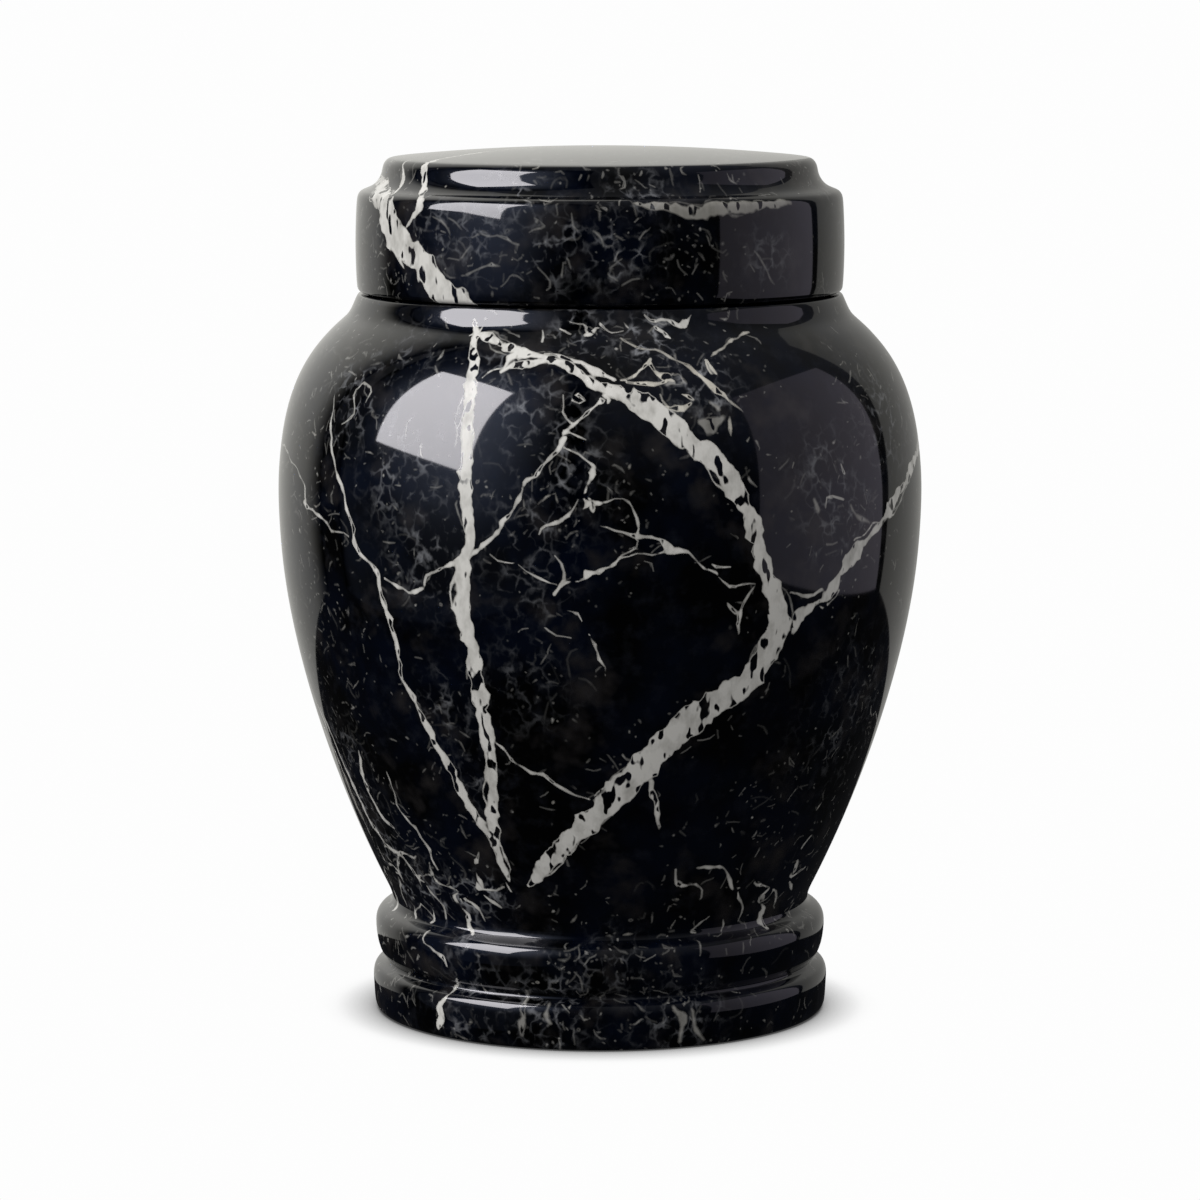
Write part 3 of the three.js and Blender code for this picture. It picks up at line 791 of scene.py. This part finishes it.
# %% Store the veins on the corners
# How many steps of its vein a corner looks at, either way.
WINDOW = 9
# The kind of a vein that is not there: half width in mm, whiteness, cream.
FAR_OFF = (-9.0, 0.0, 0.0)
TINY = 1e-9


def lay(piece, steps, choices):
    """Stores on every corner where the middle of each picked vein lies, and of what kind it is."""
    mids, kinds, _, first, last = steps
    mesh = piece.data
    corners = np.array([mesh.vertices[loop.vertex_index].co for loop in mesh.loops]) / MM
    face_of = np.repeat(np.arange(len(mesh.polygons)), [face.loop_total for face in mesh.polygons])
    for layer, choice in zip(LAYERS, choices):
        middle = choice[face_of]
        least = np.full(len(corners), np.inf)
        core, kind = np.zeros_like(corners), np.zeros_like(corners)
        for offset in range(-WINDOW, WINDOW + 1):
            j = np.clip(middle + offset, first[middle], last[middle])
            along = mids[j + 1] - mids[j]
            t = ((corners - mids[j]) * along).sum(1) / np.maximum((along ** 2).sum(1), TINY)
            t = np.clip(t, 0, 1)[:, None]
            spot = mids[j] + along * t
            gap = np.linalg.norm(corners - spot, axis=1)
            closer = gap < least
            least[closer] = gap[closer]
            core[closer] = spot[closer]
            kind[closer] = (kinds[j] * (1 - t) + kinds[j + 1] * t)[closer]
        kind[middle == NONE] = FAR_OFF
        for name, values in (("_core", core), ("_kind", kind)):
            stored = mesh.attributes.new(layer + name, "FLOAT_VECTOR", "CORNER")
            stored.data.foreach_set("vector", values.astype(np.float32).ravel())
    print(piece.name, "carries", len(LAYERS), "veins on each of", len(corners), "corners")


lay(body, body_steps, body_picked)
lay(lid, lid_steps, lid_picked)

# %% [markdown]
# ## Where the stone is shattered
# In places the stone was crushed to a mesh of hair cracks that healed again. They are too many to
# draw, so only their whereabouts are given, and the material fills them in. How crushed the stone
# is changes slowly, so here one value on each point of the mesh is enough.

# %% Spread the shattered places
# Places as degrees, tape in mm, reach in mm, and how white the mesh of cracks is there.
BODY_SHATTER = {
    "by_slant": [(-12, 222, 12, 0.36), (-6, 204, 12, 0.32), (-11, 188, 11, 0.26), (-12, 168, 10, 0.18)],
    "by_left": [(-36, 200, 14, 0.25), (-30, 178, 14, 0.25), (-50, 224, 12, 0.4), (-44, 236, 12, 0.3)],
    "low_left": [(-67, 102, 12, 0.4), (-68, 84, 12, 0.45), (-62, 68, 10, 0.5), (-84, 130, 14, 0.4)],
    "low_front": [(-29, 128, 10, 0.2), (-25, 104, 8, 0.2), (-14, 136, 12, 0.12)],
    "waist": [(-60, 59, 8, 0.6), (-47, 58, 8, 0.7), (-37, 57, 7, 0.7), (-29, 60, 7, 0.5)],
    "neck": [(10, 248, 9, 0.5), (19, 231, 9, 0.55), (-4, 252, 8, 0.4), (-20, 240, 8, 0.3)],
    "foot": [(-36, 37, 9, 0.25), (-34, 14, 12, 0.3), (-12, 16, 12, 0.3), (20, 10, 12, 0.25),
             (2, 33, 9, 0.2)],
    "far_right": [(42, 202, 11, 0.2), (46, 187, 12, 0.3), (62, 215, 14, 0.3), (58, 120, 20, 0.15)],
    "round_back": [(110, 190, 24, 0.3), (150, 215, 20, 0.3), (182, 170, 24, 0.3), (215, 200, 22, 0.3),
                   (238, 120, 26, 0.3), (140, 90, 22, 0.3), (190, 70, 20, 0.3), (120, 20, 16, 0.3),
                   (220, 20, 16, 0.3)],
}
LID_SHATTER = {
    "band": [(-42, 23, 9, 0.35), (-29, 22, 9, 0.35), (-10, 20, 10, 0.3), (4, 18, 9, 0.3),
             (42, 15, 9, 0.2)],
    "brow": [(-20, 38, 8, 0.3), (10, 38, 9, 0.3)],
    "round_back": [(90, 20, 18, 0.3), (150, 20, 18, 0.3), (220, 20, 18, 0.3),
                   (120, 70, 20, 0.3), (250, 70, 20, 0.3)],
}


SEEN = 0.05


def shatter(piece, tape, places):
    """Stores on every point of the mesh how crushed the stone is there, from 0 to 1."""
    points = np.array([vertex.co for vertex in piece.data.vertices]) / MM
    crushed = np.zeros(len(points))
    for degrees, run, reach, white in sum(places.values(), []):
        gap = np.linalg.norm(points - on_surface(tape, degrees, run), axis=1)
        crushed = np.maximum(crushed, white * np.exp(-(gap / reach) ** 2))
    stored = piece.data.attributes.new("crushed", "FLOAT", "POINT")
    stored.data.foreach_set("value", crushed.astype(np.float32))
    print(piece.name, "crushed on", int((crushed > SEEN).sum()), "of", len(points), "points")


shatter(body, body_tape, BODY_SHATTER)
shatter(lid, lid_tape, LID_SHATTER)

# %% [markdown]
# ## Polished black marble
# Black marble is limestone coloured by carbon. Cut and polished it is almost a mirror: a dark
# body, a sharp white highlight and a Fresnel rim. Its body is not one black but clouds of
# blue-black, and the calcite in the cracks is a warm white, ragged at the edge and broken by
# islands of black. A picture of marble could be wrapped round it, but that would blur close up
# and show a seam, so the pattern is worked out from the veins and from noise in the stone.

# %% A helper for nodes
def srgb(hex_colour):
    """A colour written as sRGB hex, in the linear light that shaders use."""
    parts = [int(hex_colour[i:i + 2], 16) / 255 for i in (1, 3, 5)]
    return [c / 12.92 if c <= 0.04045 else ((c + 0.055) / 1.055) ** 2.4 for c in parts] + [1.0]


def emptied(owner):
    """The node tree of a material or of the world, with nothing in it."""
    owner.use_nodes = True
    owner.node_tree.nodes.clear()
    return owner.node_tree


def add(tree, kind, inputs=None, out=None, **settings):
    """Adds a node with its settings, feeds its inputs, and gives back one of its outputs."""
    made = tree.nodes.new("ShaderNode" + kind)
    for name, value in settings.items():
        setattr(made, name, value)
    for name, value in (inputs or {}).items():
        if isinstance(value, bpy.types.NodeSocket):
            tree.links.new(value, made.inputs[name])
        else:
            made.inputs[name].default_value = value
    return made.outputs[out] if out else next((o for o in made.outputs if o.enabled), None)


marble = bpy.data.materials.new("polished_black_marble")
stone = emptied(marble)
place = add(stone, "TexCoord", out="Object")
spot = add(stone, "VectorMath", {0: place, "Scale": 1 / MM}, operation="SCALE")
print(marble.name, "reads", place.name, "coordinates in mm")

# %% [markdown]
# ## Grains of every size
# Nothing in the stone has one size only. Noises from two millimetres to thirty-four break up its
# clouds, the edges of its veins and the white inside them. Each could have a scale of its own
# deep in the node tree. One table in real millimetres is easier to tune.

# %% Grains of every size
# Name: size in mm, detail, roughness of the detail, and how far the grain is drawn out upwards.
GRAINS = {
    "cloud": (34, 4, 0.6, 1),
    "smoke": (15, 3, 0.55, 1),
    "mottle": (7, 3, 0.6, 1),
    "bite": (6.0, 1, 0.5, 1.4),
    "tremble": (5, 1.5, 0.5, 1),
    "tone": (5, 3, 0.6, 1.8),
    "island": (3.0, 1, 0.5, 2.4),
    "crumble": (2.0, 1, 0.5, 1),
}
grain = {}
for name, (size, detail, rough, tall) in GRAINS.items():
    per_mm = 1 / size, 1 / size, 1 / size / tall
    at = add(stone, "VectorMath", {0: spot, 1: per_mm}, operation="MULTIPLY")
    grain[name] = add(stone, "TexNoise", {"Vector": at, "Scale": 1.0, "Detail": detail,
                                          "Roughness": rough})
print(len(grain), "grains:", ", ".join(grain))

# %% [markdown]
# ## Ragged edges
# A crack is torn, not cut. Before the material measures how far a spot lies from a vein, it moves
# the spot a little by two of the noises, and the edge comes out ragged. A third noise bites pieces
# out of the broad veins, and a fourth leaves islands of black stone in them.

# %% Shake the edges of the veins
# How far each noise moves a spot at a loose edge, in mm.
SHAKE_MM = {"tremble": 2.4, "crumble": 0.5}
shake = None
for name, reach in SHAKE_MM.items():
    part = add(stone, "VectorMath", {0: grain[name].node.outputs["Color"], 1: (0.5, 0.5, 0.5)},
               operation="SUBTRACT")
    part = add(stone, "VectorMath", {0: part, "Scale": reach}, operation="SCALE")
    shake = add(stone, "VectorMath", {0: shake, 1: part}) if shake else part
bite = add(stone, "MapRange", {"Value": grain["bite"], "From Min": 0.54, "From Max": 0.72,
                               "To Max": 1.3})
island = add(stone, "MapRange", {"Value": grain["island"], "From Min": 0.585, "From Max": 0.625})
print("edges shaken by", " and ".join(SHAKE_MM))

# %% [markdown]
# ## White where a vein is near
# Half the width of a vein, less the distance to its middle, is how deep a spot lies inside it. A
# steep ramp over a fraction of a millimetre turns that into a crisp edge, softer for a faint vein.
# Of three veins the whitest wins. Where two strong ones meet, a smooth maximum draws a web of
# calcite into the corner between them. Without it they would cross like painted stripes.

# %% Measure the distance to each vein
WEB_MM, EDGE_MM, FAINT_EDGE_MM = 1.4, 0.13, 0.45
vein = cream = depth = web = None
for layer in LAYERS:
    core = add(stone, "Attribute", out="Vector", attribute_name=layer + "_core")
    kind = add(stone, "Attribute", out="Vector", attribute_name=layer + "_kind")
    half = add(stone, "SeparateXYZ", {0: kind}, out="X")
    whiteness, creamy = half.node.outputs["Y"], half.node.outputs["Z"]
    # A broad vein has a looser edge than a thin one.
    loose = add(stone, "Math", {0: half, 1: 0.45, 2: -0.06}, operation="MULTIPLY_ADD")
    loose = add(stone, "Clamp", {0: loose, "Min": 0.04, "Max": 0.8})
    moved = add(stone, "VectorMath", {0: shake, "Scale": loose}, operation="SCALE")
    moved = add(stone, "VectorMath", {0: spot, 1: moved})
    gap = add(stone, "VectorMath", {0: moved, 1: core}, operation="DISTANCE")
    gap = add(stone, "Math", {0: bite, 1: loose, 2: gap}, operation="MULTIPLY_ADD")
    inside = add(stone, "Math", {0: half, 1: gap}, operation="SUBTRACT")
    edge = add(stone, "MapRange", {"Value": whiteness, "To Min": FAINT_EDGE_MM, "To Max": EDGE_MM})
    outside = add(stone, "Math", {0: 0.0, 1: edge}, operation="SUBTRACT")
    # A hair-thin vein is fainter than a broad one of the same whiteness.
    faint = add(stone, "MapRange", {"Value": half, "From Min": 0.15, "From Max": 0.75, "To Min": 0.55})
    faint = add(stone, "Math", {0: whiteness, 1: faint}, operation="MULTIPLY")
    cover = add(stone, "MapRange", {"Value": inside, "From Min": outside, "From Max": edge,
                                    "To Max": faint})
    creamy = add(stone, "Math", {0: cover, 1: creamy}, operation="MULTIPLY")
    if depth and not web:
        web = add(stone, "Math", {0: depth, 1: inside, 2: WEB_MM}, operation="SMOOTH_MAX")
        least = add(stone, "Math", {0: nearest_white, 1: whiteness}, operation="MINIMUM")
        least = add(stone, "MapRange", {"Value": least, "From Min": 0.8, "From Max": 0.85})
        web = add(stone, "MapRange", {"Value": web, "From Min": -EDGE_MM, "From Max": EDGE_MM,
                                      "To Max": least})
        cover = add(stone, "Math", {0: cover, 1: web}, operation="MAXIMUM")
    nearest_white = whiteness
    if vein:
        cover = add(stone, "Math", {0: vein, 1: cover}, operation="MAXIMUM")
        creamy = add(stone, "Math", {0: cream, 1: creamy}, operation="MAXIMUM")
        inside = add(stone, "Math", {0: depth, 1: inside}, operation="MAXIMUM")
    vein, cream, depth = cover, creamy, inside
# Islands of black stone lie well inside the broad veins.
inner = add(stone, "MapRange", {"Value": depth, "From Min": 0.1, "From Max": 0.4})
island = add(stone, "Math", {0: island, 1: inner}, operation="MULTIPLY")
whole = add(stone, "Math", {0: 1.0, 1: island}, operation="SUBTRACT")
vein = add(stone, "Math", {0: vein, 1: whole}, operation="MULTIPLY")
print(len(LAYERS), "veins measured at every spot")

# %% [markdown]
# ## The mesh of hair cracks
# Crushed stone breaks into small angular pieces, and the cracks between them heal white. A Voronoi
# texture is made of such pieces: the distance to its edges draws the walls, and the distance to
# its centres is greatest where walls meet, which makes the knots. Drawing them as routes would
# take thousands. The attribute laid before says where they show.

# %% The mesh of hair cracks
CELL_MM, DRIFT = 4.2, 2.2
adrift = add(stone, "VectorMath", {0: shake, "Scale": DRIFT}, operation="SCALE")
adrift = add(stone, "VectorMath", {0: spot, 1: adrift})
adrift = add(stone, "VectorMath", {0: adrift, "Scale": 1 / CELL_MM}, operation="SCALE")
wall = add(stone, "TexVoronoi", {"Vector": adrift, "Scale": 1.0}, feature="DISTANCE_TO_EDGE")
wall = add(stone, "MapRange", {"Value": wall, "From Max": 0.2, "To Min": 1.0, "To Max": 0.0},
           interpolation_type="SMOOTHSTEP")
knot = add(stone, "TexVoronoi", {"Vector": adrift, "Scale": 1.0}, feature="F1")
knot = add(stone, "MapRange", {"Value": knot, "From Min": 0.42, "From Max": 0.85})
healed = add(stone, "MapRange", {"Value": grain["tone"], "From Min": 0.42, "From Max": 0.6})
crushed = add(stone, "Attribute", out="Fac", attribute_name="crushed")
hair = wall
for part in (knot, healed, crushed):
    hair = add(stone, "Math", {0: hair, 1: part}, operation="MULTIPLY")
print("cells of", CELL_MM, "mm between the hair cracks")

# %% [markdown]
# ## Colours of the stone
# The colour is built up from the back: blue-black clouds, brown smoke, a grey mottle, the hair
# cracks and last the veins. Calcite is duller at its edge and in patches, where it is thin and the
# dark stone shows through, and cream where it is stained.

# %% Colours
BLACK, NAVY, SMOKE, GREY = srgb("#000000"), srgb("#030713"), srgb("#242222"), srgb("#1e2027")
HAIR, CREAM = srgb("#d4d6dc"), srgb("#bfb7a2")
DULL_WHITE, BRIGHT_WHITE = srgb("#9c9a94"), srgb("#dcdad5")
cloud = add(stone, "MapRange", {"Value": grain["cloud"], "From Min": 0.42, "From Max": 0.62})
smoke = add(stone, "MapRange", {"Value": grain["smoke"], "From Min": 0.54, "From Max": 0.74})
mottle = add(stone, "MapRange", {"Value": grain["mottle"], "From Min": 0.54, "From Max": 0.78,
                                 "To Max": 0.45})
tone = add(stone, "MapRange", {"Value": grain["tone"], "From Min": 0.3, "From Max": 0.56,
                               "To Min": 0.35})
inward = add(stone, "MapRange", {"Value": depth, "From Max": 0.5, "To Min": 0.4})
tone = add(stone, "Math", {0: tone, 1: inward}, operation="MULTIPLY")
calcite = add(stone, "Mix", {0: tone, 6: DULL_WHITE, 7: BRIGHT_WHITE}, data_type="RGBA")
calcite = add(stone, "Mix", {0: cream, 6: calcite, 7: CREAM}, data_type="RGBA")
colour = BLACK
for share, over in ((cloud, NAVY), (smoke, SMOKE), (mottle, GREY), (hair, HAIR), (vein, calcite)):
    colour = add(stone, "Mix", {0: share, 6: colour, 7: over}, data_type="RGBA")
print(len(stone.nodes), "nodes up to the colour")

# %% [markdown]
# ## Polish
# The shine of marble is its own smooth face and no coat of lacquer, so one Principled shader with
# a low roughness and the refraction of the stone gives the eye a sharp, cool mirror over a deep
# black. Calcite is softer than the black stone and takes less of a polish, so in the veins the
# mirror is weaker and a little blurred.

# %% Polish
STONE_IOR = 1.52
polish = add(stone, "MapRange", {"Value": vein, "From Min": 0.7, "To Min": 0.05, "To Max": 0.12})
mirror = add(stone, "MapRange", {"Value": vein, "From Min": 0.7, "To Min": 0.5, "To Max": 0.16})
shader = add(stone, "BsdfPrincipled", {"Base Color": colour, "Roughness": polish, "IOR": STONE_IOR,
                                       "Specular IOR Level": mirror})
add(stone, "OutputMaterial", {"Surface": shader})
for piece in (body, lid):
    piece.data.materials.clear()
    piece.data.materials.append(marble)
print(len(stone.nodes), "nodes in", marble.name)

# %% [markdown]
# ## Camera
# The view is a long lens from a little above, so the foot shows its rings and the lid shows a
# sliver of its top. A short lens from close by would show more of the lid and bend the rings more.

# %% Place the camera
CAMERA_BACK, CAMERA_HIGH, CAMERA_DOWN_DEG, LENS_MM, SENSOR_MM = 1.580, 0.343, 7.51, 145.6, 36
SIGHT_M = 1000
bpy.ops.object.camera_add(location=(0, -CAMERA_BACK, CAMERA_HIGH),
                          rotation=(math.radians(90 - CAMERA_DOWN_DEG), 0, 0))
camera = bpy.context.object
camera.data.lens = LENS_MM
camera.data.sensor_width = SENSOR_MM
camera.data.clip_end = SIGHT_M
bpy.context.scene.camera = camera
print("camera stands", round(camera.location.length, 3), "m from the urn")

# %% [markdown]
# ## Floor
# The floor is matt white paper: to the eye it has no highlight and no edge, only a soft shadow at
# the foot. No lamp lights it: it glows an even white, and the shadow at the foot is painted shade.
# The Ambient Occlusion node measures where the urn shuts out the open sky, and there it turns the
# glow of the paper down. The floor is kept out of the mirror image, so the lower half of the stone
# stays black.

# %% Floor
FLOOR_M, SHADOW_REACH, SHADOW_RAYS = 600, 0.024, 24
bpy.ops.object.select_all(action="DESELECT")
bpy.ops.mesh.primitive_plane_add(size=FLOOR_M)
floor = bpy.context.object
floor.name = "studio_floor"
paper = bpy.data.materials.new("white_paper_painted_shadow")
sheet = emptied(paper)
# Painted shadow at the foot: the paper glows less where the urn hides the open sky.
open_sky = add(sheet, "AmbientOcclusion", {"Distance": SHADOW_REACH}, out="AO", samples=SHADOW_RAYS)
glow = add(sheet, "MapRange", {"Value": open_sky, "From Min": 0.3, "From Max": 0.9,
                               "To Min": 0.06, "To Max": 0.985})
glow = add(sheet, "Emission", {"Color": srgb("#ffffff"), "Strength": glow})
add(sheet, "OutputMaterial", {"Surface": glow})
floor.data.materials.append(paper)
floor.visible_glossy = floor.visible_diffuse = floor.visible_shadow = False
print(floor.name, "is", FLOOR_M, "m wide")

# %% [markdown]
# ## Soft light
# The white calcite is lit by two large soft lights, one for the front and a weaker one for the
# back. They are kept out of the mirror image, where they would show as two hard squares.

# %% Soft light
MIDDLE = Vector((0, 0, 0.16))
# Degrees round to the right of the camera, degrees up, watts.
FILLS = {"soft_fill": (-52, 42, 44), "back_fill": (140, 35, 20)}
FILL_AWAY, FILL_SIZE = 2.4, 1.4


def towards(degrees, up):
    """The way to something so many degrees round to the right of the camera and so many up."""
    a, e = math.radians(degrees), math.radians(up)
    return Vector((math.sin(a) * math.cos(e), -math.cos(a) * math.cos(e), math.sin(e)))


for name, (degrees, up, watts) in FILLS.items():
    bpy.ops.object.light_add(type="AREA", location=MIDDLE + towards(degrees, up) * FILL_AWAY)
    fill = bpy.context.object
    fill.name = name
    fill.rotation_euler = towards(degrees, up).to_track_quat("Z", "Y").to_euler()
    fill.data.size = FILL_SIZE
    fill.data.energy = watts
    fill.visible_glossy = False
    print(name, fill.data.energy, "W")

# %% [markdown]
# ## The cards in the mirror
# A polished black thing is lit by what it mirrors, so the studio is hung with lit cards that
# only a mirror ray can see. A photographed studio wrapped round the world would do the same, but
# cards can be moved one by one. Each is a plane whose four corners are moved to where they belong:
# degrees round to the right of the camera, and degrees up. The bright one is the softbox that
# makes the window on the shoulder, the others draw the pale edges.

# %% Hang the cards
# Name: metres away, its corners low left, low right, high left and high right, its brightest spot,
# how far the brightness reaches in metres, its strength there and beyond, its colour, and how much
# of its width fades out at the left and at the right.
CARDS = {
    "key_softbox": (1.5, ((-86, 11.5), (-46, 7), (-83.5, 49), (-39, 46)), (-52, 40),
                    1.2, 12.0, 9.5, "#fbf9ff", 0, 0),
    "key_wall": (3.0, ((-104, -15), (-6, -15), (-106, 60), (-4, 60)), (-50, 33),
                 1.5, 1.35, 0.08, "#cfdcff", 0.1, 0.4),
    "left_wall": (2.2, ((-186, -14), (-115, -14), (-186, 60), (-106, 60)), (-152, 40),
                  2.0, 1.05, 0.42, "#fffef8", 0, 0.2),
    "right_card": (2.0, ((56, -14), (118, -14), (57, 39), (111, 37)), (105, 20),
                   1.7, 0.54, 0.32, "#f3ecff", 0, 0),
    "right_wall": (2.2, ((121.5, -14), (174, -14), (121.5, 46), (174, 46)), (160, 25),
                   2.0, 0.4, 0.32, "#fffef8", 0, 0),
}
for name, (away, corners, brightest, reach, near, far, tint, fade_left, fade_right) in CARDS.items():
    bpy.ops.object.select_all(action="DESELECT")
    bpy.ops.mesh.primitive_plane_add(size=1)
    card = bpy.context.object
    card.name = name
    for vertex, (degrees, up) in zip(card.data.vertices, corners):
        vertex.co = MIDDLE + towards(degrees, up) * away
    glow = bpy.data.materials.new("lit_" + name)
    glow.cycles.emission_sampling = "NONE"
    lamp = emptied(glow)
    middle = sum((vertex.co for vertex in card.data.vertices), Vector()) / len(corners)
    bright = MIDDLE + towards(*brightest) * (middle - MIDDLE).length
    place = add(lamp, "TexCoord", out="Object")
    gap = add(lamp, "VectorMath", {0: place, 1: bright}, out="Value", operation="DISTANCE")
    light = add(lamp, "MapRange", {"Value": gap, "From Max": reach, "To Min": near, "To Max": far},
                interpolation_type="SMOOTHSTEP")
    across = add(lamp, "TexCoord", out="UV")
    across = add(lamp, "SeparateXYZ", {0: across}, out="X")
    for edge, inner in ((0, fade_left), (1, 1 - fade_right)):
        if edge != inner:
            fade = add(lamp, "MapRange", {"Value": across, "From Min": edge, "From Max": inner},
                       interpolation_type="SMOOTHSTEP")
            light = add(lamp, "Math", {0: light, 1: fade}, operation="MULTIPLY")
    light = add(lamp, "Emission", {"Color": srgb(tint), "Strength": light})
    add(lamp, "OutputMaterial", {"Surface": light})
    card.data.materials.append(glow)
    card.visible_camera = card.visible_diffuse = card.visible_shadow = False
    card.visible_transmission = False
print(len(CARDS), "cards")

# %% [markdown]
# ## The room
# What no card covers is the room itself. A mirror ray finds it nearly black below and dim
# above, a matt surface gets an even wash, and the camera sees white. The Light Path node tells the
# three apart, so one world does the work of three.

# %% Light the room
world = bpy.data.worlds.new("studio_room")
bpy.context.scene.world = world
room = emptied(world)
way = add(room, "TexCoord", out="Generated")
up = add(room, "SeparateXYZ", {0: way}, out="Z")
dim = add(room, "MapRange", {"Value": up, "From Min": 0.0, "From Max": 0.9,
                             "To Min": 0.015, "To Max": 0.16})
even = add(room, "MapRange", {"Value": up, "From Min": -0.7, "From Max": 0.7,
                              "To Min": 0.2, "To Max": 0.46})
camera_ray = add(room, "LightPath", out="Is Camera Ray")
mirror_ray = camera_ray.node.outputs["Is Glossy Ray"]
mirrored = add(room, "Background", {"Color": srgb("#f4f6ff"), "Strength": dim})
wash = add(room, "Background", {"Color": srgb("#ffffff"), "Strength": even})
white = add(room, "Background", {"Color": srgb("#ffffff"), "Strength": 1.0})
soft = add(room, "MixShader", {0: mirror_ray, 1: wash, 2: mirrored})
seen = add(room, "MixShader", {0: camera_ray, 1: soft, 2: white})
add(room, "OutputWorld", {"Surface": seen})
# With this transform the white of the room comes out white, and not as a pale grey.
bpy.context.scene.view_settings.view_transform = "Standard"
print(len(room.nodes), "nodes in", world.name)
